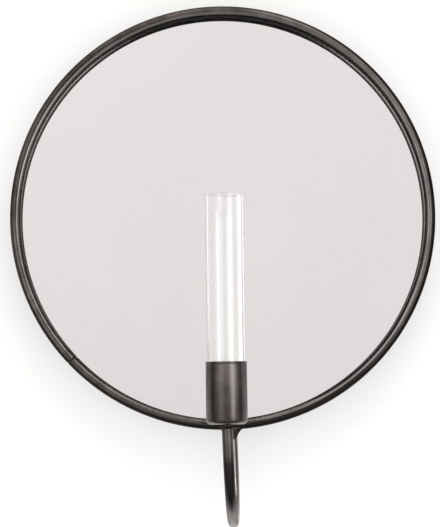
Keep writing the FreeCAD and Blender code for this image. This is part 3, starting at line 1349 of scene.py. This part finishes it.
@dataclass(frozen=True)
class Softbox:
    """A flat lamp, placed from the point that it faces."""

    name: str
    offset: tuple[float, float, float]
    size: Point
    watts: float

    def build(self, aim: Vector) -> Piece:
        """Sets the lamp up.

        Args:
            aim: the point that it faces.

        Returns:
            The lamp.
        """
        data = bpy.data.lights.new(self.name, "AREA")
        data.shape = "RECTANGLE"
        data.size, data.size_y = self.size
        data.energy = self.watts
        made = bpy.data.objects.new(self.name, data)
        bpy.context.scene.collection.objects.link(made)
        made.location = aim + Vector(self.offset)
        made.visible_camera = False
        made.rotation_euler = (-Vector(self.offset)).to_track_quat("-Z", "Y").to_euler()
        return made


@dataclass
class Studio:
    """The pale wall and floor, the soft lamps, the sky round them and the camera."""

    camera_distance: float = 1.08
    camera_drop: float = 0.105
    camera_right: float = -11.0 * MM
    lens: float = 126.07
    roll_degrees: float = 0.75
    aim_right: float = -2.04 * MM
    aim_down: float = 27.73 * MM
    wall_gap: float = 0.5 * MM
    floor_drop: float = 0.12
    extent: Point = (6.0, 6.0)
    wall_paint: Colour = (0.92, 0.92, 0.905)
    wall_glow: float = 1.42
    corner_shade: float = 0.46
    corner_reach: float = 30.0 * MM
    floor_dark: Colour = (0.80, 0.80, 0.79)
    floor_light: Colour = (0.84, 0.84, 0.83)
    floor_glow: float = 1.0
    lamp_white: Colour = (1.0, 1.0, 0.995)
    room_white: Colour = (1.0, 0.965, 0.957)
    room_level: float = 0.778
    wall_level: float = 0.95
    tube_level: float = 0.88
    soft_light: float = 0.45
    key: Softbox = Softbox("key_box", (0.275, -0.46, 0.19), (0.21, 0.90), 2.0)
    fill: Softbox = Softbox("fill_box", (-0.44, -0.78, 0.04), (0.40, 0.60), 1.0)
    top: Softbox = Softbox("top_box", (0.15, -0.55, 0.95), (0.9, 0.5), 5.0)
    strip: Softbox = Softbox("arm_strip", (0.195, 0.0, 0.324), (0.45, 0.08), 0.7)

    def __post_init__(self) -> None:
        """Reads where the ring stands."""
        low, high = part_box("front_ring")
        self.ring = (low + high) / 2
        self.lowest = CAD_BOX[0].z
        arm_low, arm_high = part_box("arm_rod")
        self.hook = (arm_low + arm_high) / 2
        self.hook.z = arm_low.z

    def sheet(self, name: str, place: Vector, lean: float, size: Point) -> Piece:
        """One flat sheet of the stage.

        Args:
            name: its name.
            place: its middle.
            lean: how far it is turned up from lying flat.
            size: its width and depth.

        Returns:
            The sheet.
        """
        Workshop.clear_bench()
        bpy.ops.mesh.primitive_plane_add(size=1.0, location=place, rotation=(lean, 0.0, 0.0))
        made = bpy.context.object
        made.scale = (*size, 1.0)
        bpy.ops.object.transform_apply(location=True, rotation=True, scale=True)
        made.name = name
        return made

    def lit_paint(self, bench: Bench, colour: Any, glow: Any) -> bpy.types.NodeSocket:
        """Matt paint that takes shadows and is evenly lit by lamps out of view.

        Args:
            bench: the material's bench.
            colour: the paint's colour.
            glow: the even light's strength.

        Returns:
            The shader.
        """
        paint = bench.node("ShaderNodeBsdfDiffuse", {}, {"Color": colour})
        even = bench.node("ShaderNodeEmission", {}, {"Color": (*self.lamp_white, 1.0), "Strength": glow})
        halves = {0: 0.5, 1: paint.outputs[0], 2: even.outputs[0]}
        return bench.node("ShaderNodeMixShader", {}, halves).outputs[0]

    def build_wall(self) -> None:
        """The white wall. It shows only from the front and blocks no light, so the back stays in view."""
        wall = self.sheet("wall", Vector((0.0, self.wall_gap, self.ring.z)), math.pi / 2, self.extent)
        material, bench = new_material("white_wall")
        reach = {"Distance": self.corner_reach}
        openness = bench.signal("ShaderNodeAmbientOcclusion", "AO", {"samples": 8}, reach)
        glow = self.wall_glow - (1.0 - openness) * self.corner_shade
        lit = self.lit_paint(bench, (*self.wall_paint, 1.0), glow)
        clear = bench.node("ShaderNodeBsdfTransparent", {}, {})
        behind = bench.signal("ShaderNodeNewGeometry", "Backfacing", {}, {})
        shown = bench.node("ShaderNodeMixShader", {}, {0: behind, 1: lit, 2: clear.outputs[0]})
        bench.node("ShaderNodeOutputMaterial", {}, {"Surface": shown.outputs[0]})
        dress(wall, material)
        wall.visible_shadow = False
        wall.visible_diffuse = False
        wall.visible_glossy = False
        wall.visible_transmission = True

    def build_floor(self) -> None:
        """The pale floor under the object."""
        floor = self.sheet("floor", Vector((0.0, 0.0, self.lowest - self.floor_drop)), 0.0, self.extent)
        material, bench = new_material("pale_floor")
        speckle = bench.noise(bench.place(), 40.0)
        colour = bench.mix(speckle, self.floor_dark, self.floor_light)
        lit = self.lit_paint(bench, colour, self.floor_glow)
        bench.node("ShaderNodeOutputMaterial", {}, {"Surface": lit})
        dress(floor, material)
        floor.visible_glossy = False

    def seen_in_metal(self, aside: Signal, ahead: Signal, up: Signal) -> Signal:
        """How bright the room shows in metal and in the mirror.

        Args:
            aside: how far a ray goes to the right.
            ahead: how far it goes towards the wall.
            up: how far it goes up.

        Returns:
            The brightness.
        """
        leftward = (-aside).ramp(-0.10, 0.10)
        above = up.ramp(-0.06, 0.20) * 0.064 + leftward * 0.018 + up.ramp(0.22, 0.55) * 0.55
        below = 1.0 - up.ramp(-0.95, -0.75)
        room = (self.room_level + above) * (1.0 - below * 0.80)
        grazing = 1.0 - ahead.math("ABSOLUTE", ahead).ramp(0.15, 0.50)
        overhead = up.ramp(0.70, 0.95)
        room = room * (1.0 - grazing * (1.0 - overhead) * 0.85)
        wall = self.wall_level + (1.0 - up.ramp(-0.80, -0.30)) * 1.5
        back = ahead.ramp(-0.05, 0.25)
        return room * (1.0 - back) + wall * back

    def seen_in_tube(self, aside: Signal, up: Signal) -> Signal:
        """How bright the room shows through the clear tube.

        Args:
            aside: how far a ray goes to the right.
            up: how far it goes up.

        Returns:
            The brightness.
        """
        right = aside.ramp(0.10, 0.24) * (1.0 - aside.ramp(0.40, 0.50))
        left = (-aside).ramp(0.50, 0.70) * (1.0 - (-aside).ramp(0.80, 0.97))
        level = self.tube_level + right * 1.00 + left * 0.90
        return level * (1.0 - up.ramp(0.12, 0.45) * 0.90)

    def build_sky(self) -> None:
        """The room round the object: white to the camera, and a soft studio to metal and glass."""
        world = bpy.data.worlds.new("studio")
        bpy.context.scene.world = world
        world.use_nodes = True
        bench = Bench(world.node_tree)
        aside, ahead, up = bench.axes(bench.signal("ShaderNodeTexCoord", "Generated", {}, {}))
        path = bench.node("ShaderNodeLightPath", {}, {})
        seen = Signal(bench, path.outputs["Is Camera Ray"])
        depth = Signal(bench, path.outputs["Transmission Depth"])
        through = depth.math("GREATER_THAN", depth, 0.5)
        glossy = Signal(bench, path.outputs["Is Glossy Ray"]) * (1.0 - through)
        plain = (1.0 - seen) * (1.0 - glossy) * (1.0 - through)
        level = seen + plain * self.soft_light
        level = level + glossy * self.seen_in_metal(aside, ahead, up)
        level = level + through * self.seen_in_tube(aside, up)
        white = bench.mix(seen, self.room_white, (1.0, 1.0, 1.0))
        glow = bench.node("ShaderNodeBackground", {}, {"Color": white, "Strength": level})
        bench.node("ShaderNodeOutputWorld", {}, {"Surface": glow.outputs[0]})

    @staticmethod
    def link(lamp: Piece, linking: Linking, *pieces: str) -> None:
        """Shades a lamp from some pieces, or leaves it those pieces alone.

        Args:
            lamp: the lamp.
            linking: which of the two.
            pieces: the pieces' names.
        """
        group = bpy.data.collections.new(f"{lamp.name}_links")
        for piece in pieces:
            group.objects.link(bpy.data.objects[piece])
        for entry in group.collection_objects:
            entry.light_linking.link_state = linking.value
        lamp.light_linking.receiver_collection = group

    def build_lamps(self) -> None:
        """A key box at the right, a weak fill at the left, a wide box above and a strip over the arm."""
        key, fill, top = [box.build(self.ring) for box in (self.key, self.fill, self.top)]
        strip = self.strip.build(self.hook)
        top.visible_glossy = False
        key.visible_transmission = False
        for lamp in (key, fill):
            self.link(lamp, Linking.SPARED, "mirror_disc", "wall")
        self.link(top, Linking.SPARED, "mirror_disc")
        self.link(strip, Linking.ALONE, "arm_bar")

    def build_camera(self) -> None:
        """The camera: low in front of the ring, turned a little about its own axis."""
        data = bpy.data.cameras.new("camera")
        data.lens = self.lens
        data.clip_start, data.clip_end = 0.01, 100.0
        camera = bpy.data.objects.new("camera", data)
        bpy.context.scene.collection.objects.link(camera)
        stand = self.ring + Vector((self.camera_right, -self.camera_distance, -self.camera_drop))
        aim = self.ring + Vector((self.aim_right, 0.0, -self.aim_down))
        turn = (aim - stand).to_track_quat("-Z", "Y").to_matrix().to_4x4()
        roll = Matrix.Rotation(math.radians(-self.roll_degrees), 4, "Z")
        camera.matrix_world = Matrix.Translation(stand) @ turn @ roll
        bpy.context.scene.camera = camera

    def build(self) -> None:
        """The whole stage."""
        self.build_wall()
        self.build_floor()
        self.build_sky()
        self.build_lamps()
        self.build_camera()
        bpy.context.scene.view_settings.view_transform = "Standard"


def main() -> None:
    """Builds and dresses the sub-assemblies in order, then the stage."""
    logging.basicConfig(level=logging.INFO, format="%(name)s: %(message)s")
    bars = DarkSteel("bar_steel").make()
    drawn = DarkSteel("cup_steel", grain=Grain.TURNED, roughness=0.30, relief=(0.05, 0.08 * MM)).make()
    weld = WeldSteel("weld_steel").make()

    ring = RingFrame()
    # The ring's steel carries painted highlights and painted shade, placed round the ring.
    painted_lit = RingSteel(
        "ring_steel",
        edge=(0.3, 0.3, 0.3),
        highlight_colour=(0.55, 0.53, 0.51),
        highlight_smoothing=0.0,
        lacquer=0.05,
        level=ring.centre.z,
        depth=ring.centre.y,
        radius=ring.radius,
        bar_radius=ring.bar_radius,
    )
    ring.build_ring(painted_lit.make())
    ring.build_band(bars)
    ring.build_tack_welds(weld)
    ring.dress_tabs(bars)

    stack = MirrorStack()
    stack.build_mirror(
        SheetGlass("mirror_front").make(),
        SilverFilm("silvering").make(),
        GroundEdge("ground_edge").make(),
    )
    stack.build_board(Fibreboard("pressed_board").make())
    stack.dress_sheet(FoamSheet("white_foam").make())

    Hanger().dress(ZincSteel("zinc_plate").make())

    arm = VaseArm()
    # The arm's steel carries painted shade on the front of the bend and a painted highlight on the limb at
    # the ring.
    arm_painted_light = ArmSteel(
        "arm_steel",
        roughness=0.40,
        bend_level=arm.bend_centre.z,
        lowest=CAD_BOX[0].z,
        middle=arm.bend_centre.y,
    )
    arm.build_arm(arm_painted_light.make())
    arm.build_ring_weld(weld)
    arm.build_cup(drawn)
    arm.build_cup_weld(weld)
    arm.dress_pad(FeltPad("black_felt").make())

    TubeVase().build(ClearGlass("tube_clear").make())

    Studio().build()
    Workshop.clear_bench()


if __name__ == "__main__":
    main()
